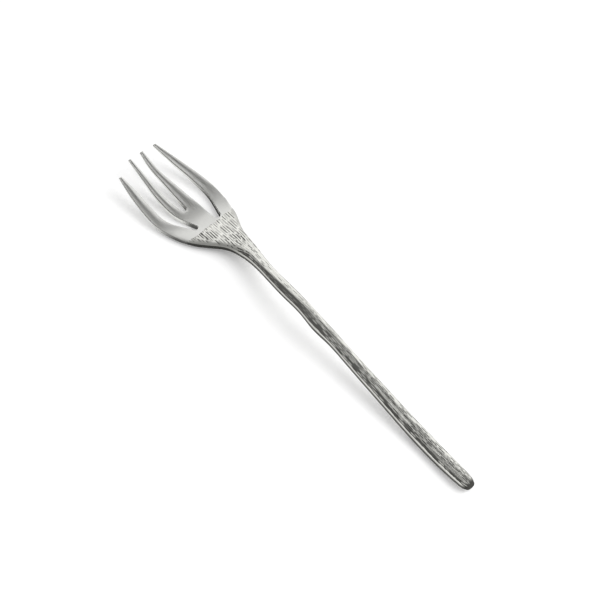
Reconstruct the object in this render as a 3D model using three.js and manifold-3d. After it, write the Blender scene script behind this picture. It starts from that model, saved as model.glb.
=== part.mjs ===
// A table fork, lying face up: a smooth four-tined head, brazed by its tang
// into a cast stem that is shaped like a twig.
// Millimetres, +Z up, +X from the heel of the stem to the tips of the tines.
import * as THREE from 'three';
import { mergeVertices } from 'three/addons/utils/BufferGeometryUtils.js';
import Module from 'manifold-3d';

const wasm = await Module();
wasm.setup();

// Driving dimensions: lengths along the fork
const stemLength = 149.2;        // heel to neck, where the head turns aside
const bendLength = 42;           // neck back to where the stem begins to bend sideways
const flareLength = 12.2;        // neck to the mouth of the stem
const palmLength = 15.8;         // mouth of the stem to the widest place of the head
const tineTips = [54.0, 57.8, 57.4, 56.5];   // neck to each tine's tip, near side first

// Driving dimensions: plan
const headTurn = THREE.MathUtils.degToRad(8);  // the head's axis against the stem's
const neckOffset = -2.6;         // the neck lies this far to the far side of the stem's line
const heelFaceHalfWidth = 1.8;   // flat cut at the heel
const heelHalfWidth = 3.25;      // stem ahead of the heel's taper
const waistHalfWidth = 2.82;     // thinnest stretch of the stem
const neckHalfWidth = 6.1;
const mouthHalfWidth = 12.5;     // where the stem's mouth meets the head
const headHalfWidth = 16.1;      // widest place, over the outer tines
const tipHalfWidth = 11.0;       // over the outer tines at their tips

// Driving dimensions: heights of the section's centre above the table
const heelHeight = 3.3;
const archHeight = 11.3;         // top of the stem's arch
const neckHeight = 4.2;
const tipHeight = 10.2;
const restDepth = 0.15;          // least depth of the flats that the fork rests on
const heelTaper = 12;            // length over which the heel draws in
const seatAt = 22;               // heel to the stem's resting place
const archBack = 44;             // neck back to the top of the arch
const bellyAhead = 18;           // neck to the head's resting place

// Driving dimensions: half thicknesses
const heelFaceHalfThickness = 1.6;
const heelHalfThickness = 2.75;
const waistHalfThickness = 2.4;
const neckHalfThickness = 2.15;
const palmHalfThickness = 1.4;    // at the mouth of the stem
const bellyHalfThickness = 1.35;
const tipHalfThickness = 0.75;
const headDish = 0.5;            // the head's edges stand above its middle
const mouthLip = 0.3;            // the stem's mouth stands proud of the head all round

// Swellings of the twig, one in each column
const knotPlaces = [27, 90, 112];          // heel to the middle of the swelling
const knotRises = [0.12, 0.38, 0.1];       // rise of the half width
const knotSpans = [9, 7, 8];               // half lengths
const knotLeans = [-0.12, 0.48, -0.25];    // lean to the near side

// Slots between the tines: neck to the closed end, then the slot's middle (+ is the near side)
// and its width at even steps from the closed end to the tips
const nearSlotEnd = 15.6;
const nearSlotMiddle = [5.1, 8.7, 8.6, 7.4, 6.9];
const nearSlotWidth = [2.4, 4.3, 4.5, 5.5, 8.0];
const midSlotEnd = 26.0;
const midSlotMiddle = [1.4, 1.35, 0.8, 0.2, -0.9];
const midSlotWidth = [2.4, 3.5, 3.8, 3.7, 4.9];
const farSlotEnd = 13.6;
const farSlotMiddle = [-5.8, -8.0, -8.05, -7.35, -7.35];
const farSlotWidth = [2.8, 5.8, 6.4, 6.4, 4.9];
const slots = [
  { closedEnd: nearSlotEnd, middle: nearSlotMiddle, width: nearSlotWidth },
  { closedEnd: midSlotEnd, middle: midSlotMiddle, width: midSlotWidth },
  { closedEnd: farSlotEnd, middle: farSlotMiddle, width: farSlotWidth },
];

// Tang and brazed joint
const tangLength = 30;           // mouth of the stem back to the tang's end
const tangThickness = 1.2;
const tangRootWidth = 10;
const tangEndWidth = 3;
const fillerThickness = 0.25;    // brazing metal round the tang
const fitGap = 0.15;             // between tang, filler, socket and mouth

// Shape of the curves between those dimensions, as shares of the way from one to the next
const heelShoulder = { along: 0.12, out: 0.5 };    // rounded edge of the heel's cut
const heelSwell = { along: 0.45, out: 0.85 };      // heel's taper
const climb = { along: 0.43, up: 0.44 };           // seat to arch
const descent = { along: 0.65, down: 0.61 };       // arch to neck
const dip = { along: 0.5, down: 0.66 };            // neck to belly
const sweep = { along: 0.55, up: 0.37 };           // belly to tips
const throat = { along: 0.75, out: 0.28 };         // arch to neck, in plan
const flare = { along: 0.5, out: 0.5 };            // neck to mouth, in plan
const palm = { along: 0.5, out: 0.67 };            // mouth to widest place
const taper = { along: 0.5, out: 0.31 };           // widest place to tips

// How square the sections are: 2 is an ellipse, more is nearer to a bar with rounded edges
const stemSquareness = 2.2;
const mouthSquareness = 3.4;      // underside of the stem's mouth and of the palm
const mouthTopSquareness = 6;     // their flatter top
const tipSquareness = 7;
const tangSquareness = 4;

// Fineness of the facets
const stemStep = 3;
const headStep = 1.6;
const slotSteps = 26;
const roundSteps = 10;
const stemSides = 20;
const headSides = 32;

// Cutters run this far past what they cut
const cutterReach = 20;

const between = THREE.MathUtils.lerp;
const { smoothstep } = THREE.MathUtils;

// Places along the fork's spine
const neckAt = stemLength;
const bendAt = neckAt - bendLength;
const archAt = neckAt - archBack;
const throatAt = between(archAt, neckAt, throat.along);
const bellyAt = neckAt + bellyAhead;
const mouthAt = neckAt + flareLength;
const widestAt = mouthAt + palmLength;
const tipsAt = neckAt + Math.max(...tineTips);
const blankEnd = tipsAt + headStep;   // the head's blank, before its tines are trimmed
const tangEnd = mouthAt - tangLength;
const mouthEdge = mouthAt - fitGap;   // where the stem and the brazing metal end
const seatHeight = heelHalfThickness - restDepth;
const bellyHeight = bellyHalfThickness - restDepth;

/** Smooth curve through [place, value] stations, as a function of place. */
function along(stations) {
  const slopes = stations.map((station, i) => {
    const before = stations[Math.max(i - 1, 0)];
    const after = stations[Math.min(i + 1, stations.length - 1)];
    const rise = (from, to) => (to[1] - from[1]) / (to[0] - from[0]);
    if (before === station) return rise(station, after);
    if (after === station) return rise(before, station);
    const back = station[0] - before[0];
    const ahead = after[0] - station[0];
    return (rise(before, station) * ahead + rise(station, after) * back) / (back + ahead);
  });
  return (place) => {
    const next = stations.findIndex((station) => station[0] >= place);
    if (next < 0) return stations.at(-1)[1] + slopes.at(-1) * (place - stations.at(-1)[0]);
    if (next === 0) return stations[0][1] + slopes[0] * (place - stations[0][0]);
    const [x0, y0] = stations[next - 1];
    const [x1, y1] = stations[next];
    const run = x1 - x0;
    const t = (place - x0) / run;
    const t2 = t * t;
    const t3 = t2 * t;
    return y0 * (2 * t3 - 3 * t2 + 1) + slopes[next - 1] * run * (t3 - 2 * t2 + t)
      + y1 * (3 * t2 - 2 * t3) + slopes[next] * run * (t3 - t2);
  };
}

// The spine seen from above: straight stem, sideways bend, straight head
const neck = new THREE.Vector2(neckAt, neckOffset);
const headAxis = new THREE.Vector2(Math.cos(headTurn), Math.sin(headTurn));
const bendHandle = bendLength / 3;
const bend = new THREE.CubicBezierCurve(
  new THREE.Vector2(bendAt, 0),
  new THREE.Vector2(bendAt + bendHandle, 0),
  neck.clone().addScaledVector(headAxis, -bendHandle),
  neck,
);

/** Point and direction of the spine at a place along the fork. */
function spine(place) {
  if (place <= bendAt) {
    return { point: new THREE.Vector2(place, 0), axis: new THREE.Vector2(1, 0) };
  }
  if (place >= neckAt) {
    return { point: neck.clone().addScaledVector(headAxis, place - neckAt), axis: headAxis };
  }
  const share = (place - bendAt) / bendLength;
  return { point: bend.getPoint(share), axis: bend.getTangent(share) };
}

// Side view: the height of the section's centre
const centreHeight = along([
  [0, heelHeight],
  [seatAt, seatHeight],
  [between(seatAt, archAt, climb.along), between(seatHeight, archHeight, climb.up)],
  [archAt, archHeight],
  [between(archAt, neckAt, descent.along), between(archHeight, neckHeight, descent.down)],
  [neckAt, neckHeight],
  [between(neckAt, bellyAt, dip.along), between(neckHeight, bellyHeight, dip.down)],
  [bellyAt, bellyHeight],
  [between(bellyAt, tipsAt, sweep.along), between(bellyHeight, tipHeight, sweep.up)],
  [tipsAt, tipHeight],
]);

// Plan: half widths of the stem and of the head
const flareMiddle = [
  between(neckAt, mouthAt, flare.along), between(neckHalfWidth, mouthHalfWidth, flare.out),
];
const stemOutline = along([
  [0, heelFaceHalfWidth],
  [heelShoulder.along * heelTaper, between(heelFaceHalfWidth, heelHalfWidth, heelShoulder.out)],
  [heelSwell.along * heelTaper, between(heelFaceHalfWidth, heelHalfWidth, heelSwell.out)],
  [heelTaper, heelHalfWidth],
  [seatAt, heelHalfWidth],
  [archAt, waistHalfWidth],
  [throatAt, between(waistHalfWidth, neckHalfWidth, throat.out)],
  [neckAt, neckHalfWidth],
  flareMiddle,
  [mouthAt, mouthHalfWidth],
]);
const headOutline = along([
  flareMiddle,
  [mouthAt, mouthHalfWidth],
  [between(mouthAt, widestAt, palm.along), between(mouthHalfWidth, headHalfWidth, palm.out)],
  [widestAt, headHalfWidth],
  [between(widestAt, tipsAt, taper.along), between(headHalfWidth, tipHalfWidth, taper.out)],
  [tipsAt, tipHalfWidth],
]);

// Side view: half thicknesses
const halfThickness = along([
  [0, heelFaceHalfThickness],
  [
    heelShoulder.along * heelTaper,
    between(heelFaceHalfThickness, heelHalfThickness, heelShoulder.out),
  ],
  [heelSwell.along * heelTaper, between(heelFaceHalfThickness, heelHalfThickness, heelSwell.out)],
  [heelTaper, heelHalfThickness],
  [seatAt, heelHalfThickness],
  [archAt, waistHalfThickness],
  [neckAt, neckHalfThickness],
  [mouthAt, palmHalfThickness],
  [bellyAt, bellyHalfThickness],
  [tipsAt, tipHalfThickness],
]);

/** How square the section is at a place: round in the stem, flatter from the throat to the tips. */
function squareness(place, atMouth) {
  const before = between(stemSquareness, atMouth, smoothstep(place, throatAt, mouthAt));
  return between(before, tipSquareness, smoothstep(place, mouthAt, tipsAt));
}

/** Squareness of the two halves of a section. */
function halves(place) {
  return { top: squareness(place, mouthTopSquareness), under: squareness(place, mouthSquareness) };
}

/** Outline of the twig at a place, swollen by its knots. */
function stemSection(place) {
  let halfWidth = stemOutline(place);
  let lean = 0;
  let swell = 1;
  knotPlaces.forEach((knotPlace, i) => {
    const bump = Math.exp(-(((place - knotPlace) / knotSpans[i]) ** 2));
    swell += (bump * knotRises[i]) / halfWidth;
    lean += bump * knotLeans[i];
  });
  const lip = mouthLip * smoothstep(place, neckAt, mouthAt);
  halfWidth = halfWidth * swell + lip;
  const dish = headDish * smoothstep(place, neckAt, mouthAt);
  const half = halfThickness(place) * swell + lip;
  return { halfWidth, halfThickness: half, square: halves(place), lean, dish };
}

/** Outline of the head at a place, before its slots are cut. */
function headSection(place) {
  return {
    halfWidth: headOutline(place),
    halfThickness: halfThickness(place),
    square: halves(place),
    lean: 0,
    dish: headDish,
  };
}

/** Outline of the tang at a place, grown by a clearance on every side. */
function tangSection(grow) {
  const width = along([[mouthAt - tangLength, tangEndWidth], [mouthAt, tangRootWidth]]);
  return (place) => ({
    halfWidth: width(place) / 2 + grow,
    halfThickness: tangThickness / 2 + grow,
    square: { top: tangSquareness, under: tangSquareness },
    lean: 0,
    dish: 0,
  });
}

/** Places from one end of a loft to the other, evenly spread, with extra ones where given. */
function places(from, to, step, extra = []) {
  const count = Math.ceil((to - from) / step);
  const even = Array.from({ length: count + 1 }, (_, i) => from + ((to - from) * i) / count);
  const wanted = extra.filter((place) => place > from && place < to);
  return [...even, ...wanted].sort((a, b) => a - b);
}

/** Closed body whose cross-sections follow the spine. */
function loft(sectionAt, stations, sides) {
  const points = [];
  for (const place of stations) {
    const { point, axis } = spine(place);
    const section = sectionAt(place);
    const middle = centreHeight(place);
    for (let i = 0; i < sides; i += 1) {
      const angle = (2 * Math.PI * i) / sides;
      const across = Math.cos(angle);
      const upward = Math.sign(Math.sin(angle));
      const square = upward > 0 ? section.square.top : section.square.under;
      const rest = Math.max(0, 1 - Math.abs(across) ** square);
      const height = upward * section.halfThickness * rest ** (1 / square);
      const side = section.lean + across * section.halfWidth;
      points.push(
        point.x - axis.y * side,
        point.y + axis.x * side,
        middle + section.dish * across * across + height,
      );
    }
  }
  const faces = [];
  for (let ring = 0; ring + 1 < stations.length; ring += 1) {
    for (let i = 0; i < sides; i += 1) {
      const j = (i + 1) % sides;
      const [a, b] = [ring * sides + i, ring * sides + j];
      faces.push(a, b, a + sides, b, b + sides, a + sides);
    }
  }
  const last = (stations.length - 1) * sides;
  for (let i = 1; i + 1 < sides; i += 1) {
    faces.push(0, i + 1, i, last, last + i, last + i + 1);
  }
  const geometry = new THREE.BufferGeometry();
  geometry.setAttribute('position', new THREE.Float32BufferAttribute(points, 3));
  geometry.setIndex(faces);
  return solid(geometry);
}

/** Solid for joining and cutting, from a closed geometry. */
function solid(geometry) {
  const bare = geometry.clone();
  bare.deleteAttribute('normal');
  bare.deleteAttribute('uv');
  const merged = mergeVertices(bare);
  return new wasm.Manifold(new wasm.Mesh({
    numProp: 3,
    vertProperties: new Float32Array(merged.attributes.position.array),
    triVerts: new Uint32Array(merged.index.array),
  }));
}

/** Named mesh of a finished solid. */
function piece(name, body, material) {
  const { vertProperties, triVerts } = body.getMesh();
  const geometry = new THREE.BufferGeometry();
  geometry.setAttribute('position', new THREE.Float32BufferAttribute(vertProperties, 3));
  geometry.setIndex(new THREE.BufferAttribute(triVerts, 1));
  geometry.computeVertexNormals();
  const mesh = new THREE.Mesh(geometry, material);
  mesh.name = name;
  return mesh;
}

/** Upright prism of an outline in the head's plan: along its axis from the neck, and across. */
function headPrism(outline) {
  const top = Math.max(neckHeight, tipHeight) + cutterReach;
  const prism = new THREE.ExtrudeGeometry(new THREE.Shape(outline), {
    depth: top + cutterReach,
    bevelEnabled: false,
  });
  prism.translate(0, 0, -cutterReach);
  prism.rotateZ(headTurn);
  prism.translate(neck.x, neck.y, 0);
  return solid(prism);
}

/** Cutter for one slot: round at its closed end, open past the tips. */
function slotCutter({ closedEnd, middle, width }) {
  const reach = tipsAt - neckAt;
  const roundAt = closedEnd + width[0] / 2;
  const spread = (values) => along(
    values.map((value, i) => [roundAt + ((reach - roundAt) * i) / (values.length - 1), value]),
  );
  const middleAt = spread(middle);
  const widthAt = spread(width);
  const past = blankEnd - neckAt;
  const near = [];
  const far = [];
  for (let i = 0; i <= slotSteps; i += 1) {
    const place = roundAt + ((past - roundAt) * i) / slotSteps;
    near.push(new THREE.Vector2(place, middleAt(place) + widthAt(place) / 2));
    far.unshift(new THREE.Vector2(place, middleAt(place) - widthAt(place) / 2));
  }
  const end = new THREE.EllipseCurve(
    roundAt, middle[0], width[0] / 2, width[0] / 2, -Math.PI / 2, Math.PI / 2, true,
  );
  const round = end.getPoints(roundSteps).slice(1, -1);
  return headPrism([...near, ...far, ...round]);
}

/** Cutter that trims each tine square at its own tip. */
function tipCutter() {
  const past = blankEnd - neckAt + cutterReach;
  const side = headHalfWidth + cutterReach;
  const slotMouths = slots.map((slot) => slot.middle.at(-1));
  const outline = [new THREE.Vector2(past, -side), new THREE.Vector2(past, side)];
  tineTips.forEach((tip, i) => {
    const from = i === 0 ? side : slotMouths[i - 1];
    const to = i === slots.length ? -side : slotMouths[i];
    outline.push(new THREE.Vector2(tip, from), new THREE.Vector2(tip, to));
  });
  return headPrism(outline);
}

/** Everything below the table, which leaves flat resting places. */
function belowTable() {
  const length = blankEnd + 2 * cutterReach;
  const block = new THREE.BoxGeometry(length, length, cutterReach);
  block.translate(blankEnd / 2, 0, -cutterReach / 2);
  return solid(block);
}

const satinSteel = new THREE.MeshStandardMaterial({
  color: 0xb9b8b4, roughness: 0.32, metalness: 1,
});
const barkSteel = new THREE.MeshStandardMaterial({
  color: 0xc6c5bf, roughness: 0.42, metalness: 1,
});
const brazingMetal = new THREE.MeshStandardMaterial({
  color: 0xc9bd95, roughness: 0.5, metalness: 1,
});

const tangPlaces = (from, to) => places(from, to, headStep);

// Head: a plate lofted along the spine, slotted, trimmed at the tips and given its tang
function tinedHead() {
  const plate = loft(headSection, places(mouthAt, blankEnd, headStep), headSides);
  const tang = loft(tangSection(0), tangPlaces(tangEnd, mouthAt + headStep), stemSides);
  let body = plate.add(tang);
  for (const slot of slots) body = body.subtract(slotCutter(slot));
  return body.subtract(tipCutter()).subtract(belowTable());
}

// Stem: the twig with its flared mouth, and the socket that takes the tang
function barkStem() {
  const heelPlaces = [heelShoulder.along * heelTaper, heelSwell.along * heelTaper];
  const twig = loft(stemSection, places(0, mouthEdge, stemStep, heelPlaces), stemSides);
  const room = 2 * fitGap + fillerThickness;
  const socket = loft(tangSection(room), tangPlaces(tangEnd - room, mouthAt + headStep), stemSides);
  return twig.subtract(socket).subtract(belowTable());
}

// Filler: the sleeve of brazing metal between tang and socket
function brazeSleeve() {
  const outer = loft(
    tangSection(fitGap + fillerThickness), tangPlaces(tangEnd, mouthEdge), stemSides,
  );
  const inner = loft(
    tangSection(fitGap), tangPlaces(tangEnd - headStep, mouthAt + headStep), stemSides,
  );
  return outer.subtract(inner);
}

const fork = new THREE.Group();
fork.add(piece('tined_head', tinedHead(), satinSteel));
fork.add(piece('bark_stem', barkStem(), barkSteel));
fork.add(piece('braze_sleeve', brazeSleeve(), brazingMetal));

// The origin is on the table, under the middle of the fork's box
const middle = new THREE.Box3().setFromObject(fork).getCenter(new THREE.Vector3());
fork.position.set(-middle.x, -middle.y, 0);

export default fork;
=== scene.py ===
# %% [markdown]
# A table fork lies face up on a white table. Its head is smooth satin steel with four tines. Its stem is a
# casting that looks like a twig, with a bark of fine grooves, and it holds the tang of the head in a socket.
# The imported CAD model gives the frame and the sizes, in metres: +X runs from the heel of the stem to the
# tips of the tines, +Y to the side that is near in the picture, and +Z is up. This lesson makes the fine
# surfaces, their finishes, the light and the camera.

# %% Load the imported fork
import math

import bmesh
import bpy
import numpy as np
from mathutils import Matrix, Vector
from mathutils.geometry import delaunay_2d_cdt


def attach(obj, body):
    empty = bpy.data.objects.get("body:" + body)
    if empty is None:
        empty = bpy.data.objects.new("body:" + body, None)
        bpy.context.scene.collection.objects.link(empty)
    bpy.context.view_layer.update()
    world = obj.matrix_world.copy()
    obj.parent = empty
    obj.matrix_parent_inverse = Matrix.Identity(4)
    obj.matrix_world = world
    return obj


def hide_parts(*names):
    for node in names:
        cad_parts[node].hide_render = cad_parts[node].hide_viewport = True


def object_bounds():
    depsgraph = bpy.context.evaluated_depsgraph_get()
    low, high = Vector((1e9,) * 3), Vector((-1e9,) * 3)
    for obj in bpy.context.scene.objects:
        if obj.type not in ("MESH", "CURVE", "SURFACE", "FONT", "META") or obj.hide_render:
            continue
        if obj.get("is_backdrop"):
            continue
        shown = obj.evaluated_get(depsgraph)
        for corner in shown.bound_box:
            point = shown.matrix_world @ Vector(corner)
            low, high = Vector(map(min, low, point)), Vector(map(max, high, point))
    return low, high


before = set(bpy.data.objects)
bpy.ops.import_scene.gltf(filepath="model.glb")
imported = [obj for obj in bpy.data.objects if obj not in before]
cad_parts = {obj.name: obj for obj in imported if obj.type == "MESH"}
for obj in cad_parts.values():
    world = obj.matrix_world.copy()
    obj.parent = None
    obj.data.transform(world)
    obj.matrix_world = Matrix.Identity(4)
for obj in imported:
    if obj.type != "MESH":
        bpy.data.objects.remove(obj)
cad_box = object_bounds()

MM = 0.001
print("CAD box in mm", [[round(x / MM, 2) for x in corner] for corner in cad_box])

# %% [markdown]
# The camera comes first, because each size on the picture depends on it. It looks down from 52 degrees with
# a long lens. The lens follows from how wide the picture is at the table: a share of the distance that the
# sensor has to match. The picture is square, so one width is enough.

# %% Camera
aim = Vector((7.35, -8.3, 0.0)) * MM
view_azimuth = math.radians(231.5)
view_elevation = math.radians(52)
view_distance = 870 * MM
picture_width = 239.6 * MM
sensor_width = 36.0

level = math.cos(view_elevation)
towards_camera = Vector((
    math.sin(view_azimuth) * level,
    -math.cos(view_azimuth) * level,
    math.sin(view_elevation),
))
camera_data = bpy.data.cameras.new("camera")
camera_data.sensor_width = sensor_width
camera_data.lens = sensor_width * view_distance / picture_width
camera = bpy.data.objects.new("camera", camera_data)
camera.location = aim + view_distance * towards_camera
camera.rotation_euler = towards_camera.to_track_quat("Z", "Y").to_euler()
bpy.context.scene.collection.objects.link(camera)
bpy.context.scene.camera = camera
print("lens", round(camera_data.lens, 1), "mm")

# %% [markdown]
# The head and the stem follow the same few laws: a spine seen from above, a height seen from the side,
# and half widths and half thicknesses along the way. They repeat the CAD sizes, so that a fine mesh lies
# exactly where the coarse solid does. Lengths here are millimetres, and turn into metres when a mesh is made.

# %% Sizes along the fork and in plan
stem_length = 149.2                     # heel to neck
bend_length = 42.0                      # sideways bend, back from the neck
flare_length = 12.2                     # neck to the mouth of the stem
palm_length = 15.8                      # mouth to the widest place of the head
tine_tips = (54.0, 57.8, 57.4, 56.5)    # neck to each tip, near side first
head_turn = math.radians(8)
neck_offset = -2.6
heel_face_half_width = 1.8
heel_half_width = 3.25
waist_half_width = 2.82
neck_half_width = 6.1
mouth_half_width = 12.5
head_half_width = 16.1
tip_half_width = 11.0

neck_at = stem_length
bend_at = neck_at - bend_length
mouth_at = neck_at + flare_length
widest_at = mouth_at + palm_length
tips_at = neck_at + max(tine_tips)
print("neck, mouth and tips at", neck_at, mouth_at, tips_at, "mm from the heel")

# %% Heights and thicknesses
heel_height = 3.3
arch_height = 11.3
neck_height = 4.2
tip_height = 10.2
rest_depth = 0.15                       # depth of the flats that the fork rests on
heel_taper = 12.0
seat_at = 22.0
arch_at = neck_at - 44.0
belly_at = neck_at + 18.0
heel_face_half_thickness = 1.6
heel_half_thickness = 2.75
waist_half_thickness = 2.4
neck_half_thickness = 2.15
palm_half_thickness = 1.4
belly_half_thickness = 1.35
tip_half_thickness = 0.75
head_dish = 0.5
mouth_lip = 0.3
seat_height = heel_half_thickness - rest_depth
belly_height = belly_half_thickness - rest_depth
print("top of the arch", arch_height + waist_half_thickness, "mm above the table")

# %% Tang, knots and slots
tang_length = 30.0
tang_thickness = 1.2
tang_root_width = 10.0
tang_end_width = 3.0
filler_thickness = 0.25
fit_gap = 0.15
tang_end = mouth_at - tang_length
mouth_edge = mouth_at - fit_gap
# each knot: place, rise of the half width, half length, lean to the near side
knots = ((27, 0.12, 9, -0.12), (90, 0.38, 7, 0.48), (112, 0.1, 8, -0.25))
# each slot: neck to its closed end, then its middle and its width at even steps to the tips
slots = (
    (15.6, (5.1, 8.7, 8.6, 7.4, 6.9), (2.4, 4.3, 4.5, 5.5, 8.0)),
    (26.0, (1.4, 1.35, 0.8, 0.2, -0.9), (2.4, 3.5, 3.8, 3.7, 4.9)),
    (13.6, (-5.8, -8.0, -8.05, -7.35, -7.35), (2.8, 5.8, 6.4, 6.4, 4.9)),
)
print(len(knots), "knots,", len(slots), "slots")


# %% Curves through stations
def between(first, last, share):
    return first + (last - first) * share


def smooth_ramp(where, low, high):
    """0 before low, 1 after high, and smooth between them."""
    share = np.clip((np.asarray(where, float) - low) / (high - low), 0, 1)
    return share * share * (3 - 2 * share)


def curve_through(stations):
    """Smooth curve through (place, value) stations, as a function of an array of places."""
    place, value = np.array(stations, float).T
    span = np.diff(place)
    rise = np.diff(value) / span
    inner = (rise[:-1] * span[1:] + rise[1:] * span[:-1]) / (span[1:] + span[:-1])
    slope = np.concatenate([rise[:1], inner, rise[-1:]])

    def at(where):
        where = np.asarray(where, float)
        inside = np.clip(where, place[0], place[-1])
        left = np.clip(np.searchsorted(place, inside) - 1, 0, len(span) - 1)
        right = left + 1
        t = (inside - place[left]) / span[left]
        start = value[left] * (2 * t**3 - 3 * t**2 + 1) + slope[left] * span[left] * (t**3 - 2 * t**2 + t)
        stop = value[right] * (3 * t**2 - 2 * t**3) + slope[right] * span[left] * (t**3 - t**2)
        over = where - inside
        return start + stop + np.where(over < 0, slope[0], slope[-1]) * over

    return at


print("a curve through 0, 1, 0 is", float(curve_through([(0, 0), (1, 1), (2, 0)])(0.5)), "at a quarter")


# %% Side view: the height of the section's centre, and the thickness
def part_way(first, last, shares):
    """A station between two others: a share of the way along, and a share of the change in value."""
    return tuple(between(a, b, share) for a, b, share in zip(first, last, shares))


def heel_stations(face_value, full_value):
    """Stations over the rounded heel, from the value at its face to the full one."""
    face, full = (0, face_value), (heel_taper, full_value)
    return [part_way(face, full, shares) for shares in heel_shares]


heel_shares = ((0, 0), (0.12, 0.5), (0.45, 0.85), (1, 1))
climb_shares = (0.43, 0.44)             # seat to arch
fall_shares = (0.65, 0.61)              # arch to neck
belly_shares = (0.5, 0.66)              # neck to belly
tine_shares = (0.55, 0.37)              # belly to tips
seat_point = (seat_at, seat_height)
arch_point = (arch_at, arch_height)
neck_point = (neck_at, neck_height)
belly_point = (belly_at, belly_height)
tips_point = (tips_at, tip_height)
centre_height = curve_through([
    (0, heel_height),
    seat_point,
    part_way(seat_point, arch_point, climb_shares),
    arch_point,
    part_way(arch_point, neck_point, fall_shares),
    neck_point,
    part_way(neck_point, belly_point, belly_shares),
    belly_point,
    part_way(belly_point, tips_point, tine_shares),
    tips_point,
])
half_thickness = curve_through([
    *heel_stations(heel_face_half_thickness, heel_half_thickness),
    (seat_at, heel_half_thickness),
    (arch_at, waist_half_thickness),
    (neck_at, neck_half_thickness),
    (mouth_at, palm_half_thickness),
    (belly_at, belly_half_thickness),
    (tips_at, tip_half_thickness),
])
print("height of the spine at the neck", float(centre_height(neck_at)), "mm")

# %% Plan: half widths
throat_shares = (0.75, 0.28)            # waist to neck
flare_shares = (0.5, 0.5)               # neck to mouth
palm_shares = (0.5, 0.67)               # mouth to the widest place
narrowing_shares = (0.5, 0.31)          # widest place to the tips
waist_side = (arch_at, waist_half_width)
neck_side = (neck_at, neck_half_width)
mouth_side = (mouth_at, mouth_half_width)
widest_side = (widest_at, head_half_width)
tips_side = (tips_at, tip_half_width)
throat_side = part_way(waist_side, neck_side, throat_shares)
flare_middle = part_way(neck_side, mouth_side, flare_shares)
stem_outline = curve_through([
    *heel_stations(heel_face_half_width, heel_half_width),
    (seat_at, heel_half_width),
    waist_side,
    throat_side,
    neck_side,
    flare_middle,
    mouth_side,
])
head_outline = curve_through([
    flare_middle,
    mouth_side,
    part_way(mouth_side, widest_side, palm_shares),
    widest_side,
    part_way(widest_side, tips_side, narrowing_shares),
    tips_side,
])
tang_width = curve_through([(tang_end, tang_end_width), (mouth_at, tang_root_width)])
print("head is", 2 * head_half_width, "mm wide")

# %% How square the section is
stem_squareness = 2.2
tang_squareness = 4.0
mouth_squareness = 3.4
top_squareness = 6.0                    # the top of the mouth is flatter than its underside
tip_squareness = 7.0
throat_at = throat_side[0]


def squareness(place, at_mouth):
    """2 is an ellipse, more is nearer to a bar. Round in the stem, flatter from the throat to the tips."""
    before = between(stem_squareness, at_mouth, smooth_ramp(place, throat_at, mouth_at))
    return between(before, tip_squareness, smooth_ramp(place, mouth_at, tips_at))


def thickness_share(across, square):
    """Half thickness of a section, as a share of the most, at a share of its half width."""
    return np.maximum(0, 1 - np.abs(across) ** square) ** (1 / square)


print("squareness of the top at the neck", round(float(squareness(neck_at, top_squareness)), 2))


# %% From the laws to points in the frame
def spine(place):
    """Point and direction of the spine, seen from above, at an array of places."""
    place = np.asarray(place, float)
    axis = np.array([math.cos(head_turn), math.sin(head_turn)])
    neck = np.array([neck_at, neck_offset])
    handle = bend_length / 3            # a third makes the curve run evenly
    first = np.array([bend_at, 0.0])
    second = np.array([bend_at + handle, 0.0])
    third = neck - handle * axis
    inside = np.clip(place, bend_at, neck_at)
    t = ((inside - bend_at) / bend_length)[..., None]
    rest = 1 - t
    point = rest**3 * first + 3 * rest**2 * t * second + 3 * rest * t**2 * third + t**3 * neck
    pull = rest**2 * (second - first) + 2 * rest * t * (third - second) + t**2 * (neck - third)
    direction = pull / np.linalg.norm(pull, axis=-1, keepdims=True)
    return point + direction * (place - inside)[..., None], direction


def in_frame(place, side, height):
    """Points in metres in the CAD frame, from places on the spine, offsets to the near side and heights."""
    point, direction = spine(place)
    x = point[..., 0] - direction[..., 1] * side
    y = point[..., 1] + direction[..., 0] * side
    z = np.maximum(height, 0)
    return np.stack([x, y, z], axis=-1) * MM + np.array([heel[0], heel[1], 0])


heel_slice = 0.01 * MM                  # solid points this close to its end lie on the heel's face
solid_points = np.array([v.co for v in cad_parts["bark_stem"].data.vertices])
heel_points = solid_points[solid_points[:, 0] < solid_points[:, 0].min() + heel_slice]
heel = (heel_points.min(axis=0) + heel_points.max(axis=0)) / 2
print("heel of the stem at", [round(x / MM, 3) for x in heel], "mm")

# %% [markdown]
# The head of a real fork is stamped from sheet steel, slotted, pressed into its curve and polished until the
# edges of the slots are round. It is flat on top and rounder below, and each tine has a low crown. One could
# cut a coarse plate with Booleans and bevel it, but bevels break up on a fine curved plate. So the head is
# drawn flat first, as one outline with its tang. The outline is filled with triangles, with rows of points
# close to its edges, and then each point is lifted to the top and to the bottom of the plate. Near a slot or
# a tip the plate gets thinner by a quarter round, which is the soft edge.

# %% Walls of the slots, flat
# in this plan u runs along the head from the neck, and w runs across it to the near side
outline_step = 0.4                      # between points on the outline
round_steps = 24                        # points round the closed end of a slot


def slot_walls(closed_end, middle, width):
    """A slot in the plan: where its round end begins, that end, and its two walls."""
    round_at = closed_end + width[0] / 2
    even = np.linspace(round_at, max(tine_tips), len(middle))
    middle_at = curve_through(list(zip(even, middle)))
    width_at = curve_through(list(zip(even, width)))
    turn = np.linspace(-math.pi / 2, -3 * math.pi / 2, round_steps, endpoint=False)
    circle = np.stack([np.cos(turn), np.sin(turn)], axis=-1)
    return {
        "round_at": round_at,
        "round_end": np.array([round_at, middle[0]]) + circle * width[0] / 2,
        "far": lambda u: middle_at(u) - width_at(u) / 2,
        "near": lambda u: middle_at(u) + width_at(u) / 2,
    }


walls = [slot_walls(*slot) for slot in slots]
print("round ends at", [round(wall["round_at"], 1) for wall in walls], "mm ahead of the neck")

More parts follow.
